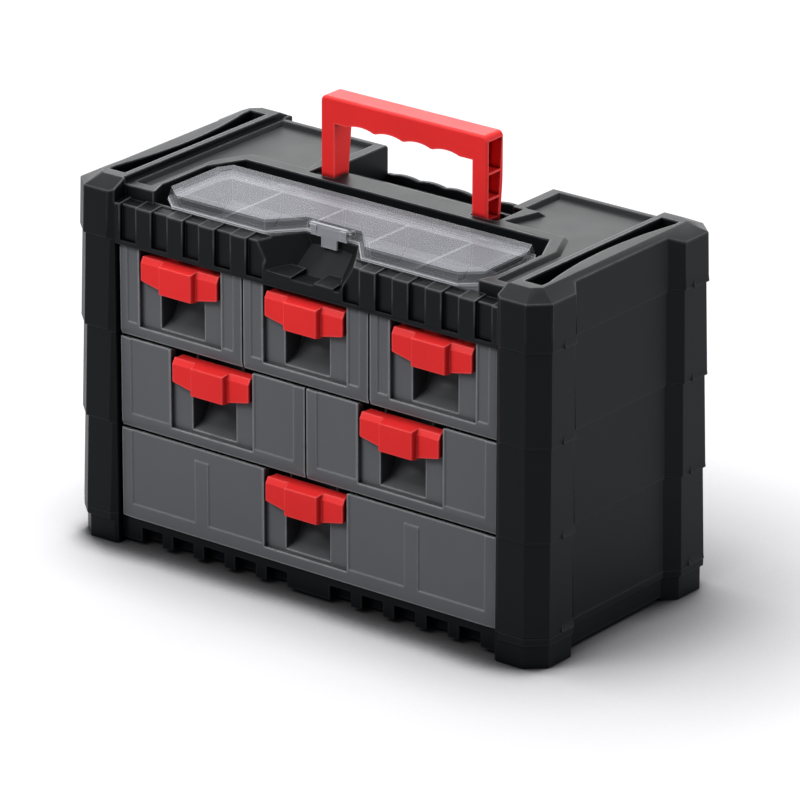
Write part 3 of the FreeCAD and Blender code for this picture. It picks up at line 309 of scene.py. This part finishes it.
def finish_node(name, material, bevel):
    """Gives a CAD node its plastic, and bevels its edges or, on a crisp node, splits them."""
    node = nodes[name]
    node.data.materials.clear()
    node.data.materials.append(material)
    for face in node.data.polygons:
        face.use_smooth = True
    weld = node.modifiers.new("weld", "WELD")
    weld.merge_threshold = WELD_DISTANCE
    if name in CRISP:
        split = node.modifiers.new("split", "EDGE_SPLIT")
        split.split_angle = CRISP_ANGLE
    else:
        edge = node.modifiers.new("edge", "BEVEL")
        edge.width = bevel
        edge.segments = 2
        edge.limit_method = "ANGLE"
        edge.angle_limit = BEVEL_ANGLE
        edge.use_clamp_overlap = False
        edge.miter_outer = "MITER_ARC"
    normals = node.modifiers.new("normals", "WEIGHTED_NORMAL")
    normals.weight = NORMAL_WEIGHT
    normals.keep_sharp = False


# ------------------------------------------------------------------ studio
def add_camera():
    data = bpy.data.cameras.new("camera")
    data.lens = CAMERA_LENS
    data.sensor_width = CAMERA_SENSOR
    data.clip_end = CAMERA_FAR
    camera = bpy.data.objects.new("camera", data)
    bpy.context.scene.collection.objects.link(camera)
    bpy.context.scene.camera = camera
    flat = math.cos(CAMERA_ELEVATION)
    away = Vector((math.sin(CAMERA_AZIMUTH) * flat, -math.cos(CAMERA_AZIMUTH) * flat,
                   math.sin(CAMERA_ELEVATION)))
    camera.location = CAMERA_TARGET + away * CAMERA_DISTANCE
    camera.rotation_mode = "QUATERNION"
    camera.rotation_quaternion = Quaternion(away, CAMERA_ROLL) @ away.to_track_quat("Z", "Y")


def add_lamp(name, place, size, power):
    """A rectangular soft box that faces the middle of the tool box."""
    data = bpy.data.lights.new(name, "AREA")
    data.shape = "RECTANGLE"
    data.size, data.size_y = size
    data.energy = power
    lamp = bpy.data.objects.new(name, data)
    bpy.context.scene.collection.objects.link(lamp)
    lamp.location = place
    lamp.rotation_euler = (Vector(place) - LAMP_TARGET).to_track_quat("Z", "Y").to_euler()


def seen_rays(tree, *kinds):
    """1 for rays of the given kinds, 0 for others."""
    rays = tree.nodes.new("ShaderNodeLightPath")
    total = rays.outputs[kinds[0]]
    for kind in kinds[1:]:
        either = tree.nodes.new("ShaderNodeMath")
        either.operation = "MAXIMUM"
        tree.links.new(total, either.inputs[0])
        tree.links.new(rays.outputs[kind], either.inputs[1])
        total = either.outputs[0]
    return total


def add_world():
    world = bpy.data.worlds.new("world")
    bpy.context.scene.world = world
    world.use_nodes = True
    tree = world.node_tree
    plain = tree.nodes["Background"]
    plain.inputs["Color"].default_value = WORLD_COLOUR
    plain.inputs["Strength"].default_value = WORLD_STRENGTH
    white = tree.nodes.new("ShaderNodeBackground")
    white.inputs["Color"].default_value = PURE_WHITE
    white.inputs["Strength"].default_value = 1.0
    mix = tree.nodes.new("ShaderNodeMixShader")
    seen = seen_rays(tree, *BACKDROP_RAYS)
    tree.links.new(seen, mix.inputs["Fac"])
    tree.links.new(plain.outputs[0], mix.inputs[1])
    tree.links.new(white.outputs[0], mix.inputs[2])
    tree.links.new(mix.outputs[0], tree.nodes["World Output"].inputs["Surface"])


def add_floor():
    """White paper: a lit surface whose shadow is deepened by painted shadow from ambient-occlusion
    nodes in its colour and glow, and a glow that fades where the box stands.
    """
    far = FLOOR_HALF
    corners = [(-far, -far, 0), (far, -far, 0), (far, far, 0), (-far, far, 0)]
    mesh = bpy.data.meshes.new("floor")
    mesh.from_pydata(corners, [], [(0, 1, 2, 3)])
    floor = bpy.data.objects.new("floor", mesh)
    bpy.context.scene.collection.objects.link(floor)
    material = bpy.data.materials.new("floor")
    material.use_nodes = True
    tree = material.node_tree
    shader = tree.nodes["Principled BSDF"]
    shader.inputs["Roughness"].default_value = FLOOR_ROUGHNESS
    shader.inputs["Specular IOR Level"].default_value = 0.0

    def combine(first, second, operation="MULTIPLY"):
        node = tree.nodes.new("ShaderNodeMath")
        node.operation = operation
        tree.links.new(first, node.inputs[0])
        if isinstance(second, float):
            node.inputs[1].default_value = second
        else:
            tree.links.new(second, node.inputs[1])
        return node.outputs[0]

    def hidden(reach, power, lean):
        node = tree.nodes.new("ShaderNodeAmbientOcclusion")
        node.samples = SHADE_SAMPLES
        node.inputs["Distance"].default_value = reach
        axis = tree.nodes.new("ShaderNodeCombineXYZ")
        for socket, part in zip(axis.inputs, lean):
            socket.default_value = part
        tree.links.new(axis.outputs[0], node.inputs["Normal"])
        return combine(node.outputs["AO"], power, "POWER")

    # painted contact shadow: the floor's colour and glow run to black where ambient occlusion
    # finds the box close
    contact = tree.nodes.new("ShaderNodeMapRange")
    contact.interpolation_type = "SMOOTHSTEP"
    for name, value in zip(("From Min", "From Max", "To Min"), CONTACT_LIMITS):
        contact.inputs[name].default_value = value
    tree.links.new(hidden(*CONTACT_SHADE), contact.inputs["Value"])
    paper = tree.nodes.new("ShaderNodeMix")
    paper.data_type = "RGBA"
    paper.inputs[6].default_value = PURE_BLACK
    paper.inputs[7].default_value = FLOOR_COLOUR
    tree.links.new(contact.outputs["Result"], paper.inputs["Factor"])
    tree.links.new(paper.outputs[2], shader.inputs["Base Color"])
    seen = seen_rays(tree, *BACKDROP_RAYS)
    place = tree.nodes.new("ShaderNodeNewGeometry")
    distance = tree.nodes.new("ShaderNodeVectorMath")
    distance.operation = "LENGTH"
    tree.links.new(place.outputs["Position"], distance.inputs[0])
    strength = tree.nodes.new("ShaderNodeMapRange")
    fade = (*LAMPLIT, FLOOR_GLOW, FAR_GLOW)
    for name, value in zip(("From Min", "From Max", "To Min", "To Max"), fade):
        strength.inputs[name].default_value = value
    tree.links.new(distance.outputs["Value"], strength.inputs["Value"])
    level = combine(combine(seen, strength.outputs["Result"]), contact.outputs["Result"])
    # painted shadow on the glow; the wide shade leans so that it falls like a shadow cast from the
    # left
    for shade in (WIDE_SHADE, CLOSE_SHADE):
        level = combine(level, hidden(*shade))
    glow = tree.nodes.new("ShaderNodeEmission")
    glow.inputs["Color"].default_value = PURE_WHITE
    tree.links.new(level, glow.inputs["Strength"])
    add = tree.nodes.new("ShaderNodeAddShader")
    tree.links.new(shader.outputs[0], add.inputs[0])
    tree.links.new(glow.outputs[0], add.inputs[1])
    tree.links.new(add.outputs[0], tree.nodes["Material Output"].inputs["Surface"])
    mesh.materials.append(material)


# ------------------------------------------------------------------- build
plastics = {
    "black": black_plastic(),
    "grey": drawer_plastic(),
    "red": red_plastic(),
    "tub": milky_plastic("tub_plastic", alpha=0.50, wall_alpha=0.22, wall_shade=0.40,
                         edge_width=0.75 * MM, edge_alpha=0.95, rough=0.36,
                         rim_shade_above=TUB_RIM_TOP - TUB_RIM_THICK),
    "clear": milky_plastic("clear_plastic", alpha=0.24, wall_alpha=0.45, wall_shade=0.15,
                           edge_width=0.40 * MM, edge_alpha=0.60, rough=0.42),
    "latch": milky_plastic("clear_plastic_latch", alpha=0.72, wall_alpha=0.62, wall_shade=0.75,
                           edge_width=0.35 * MM, edge_alpha=0.85, rough=0.50),
    "steel": steel(),
}
# each material slot: its plastic, and the width of its bevels
LOOKS = {
    "black_plastic": ("black", 0.6 * MM),
    "drawer_plastic": ("grey", 0.5 * MM),
    "red_plastic": ("red", 0.7 * MM),
    "tub_plastic": ("tub", 0.3 * MM),
    "clear_plastic": ("clear", 0.3 * MM),
    "pin_steel": ("steel", 0.15 * MM),
}
for part in frame["record"]["subparts"]:
    kind, bevel = LOOKS[part["material_slot"]]
    if part["node"] == "lid_latch":
        kind = "latch"
    finish_node(part["node"], plastics[kind], bevel)

add_camera()
add_world()
add_floor()
add_lamp("above", place=(-0.8, 0.1, 2.4), size=(2.2, 2.0), power=38.0)
add_lamp("front", place=(-0.5, -1.2, 1.30), size=(0.9, 0.7), power=20.0)
add_lamp("side", place=(2.6, 0.9, 0.55), size=(1.2, 0.9), power=38.0)
add_lamp("rear", place=(-1.25, 2.00, 1.20), size=(3.4, 1.6), power=54.0)
bpy.context.scene.view_settings.view_transform = "Standard"
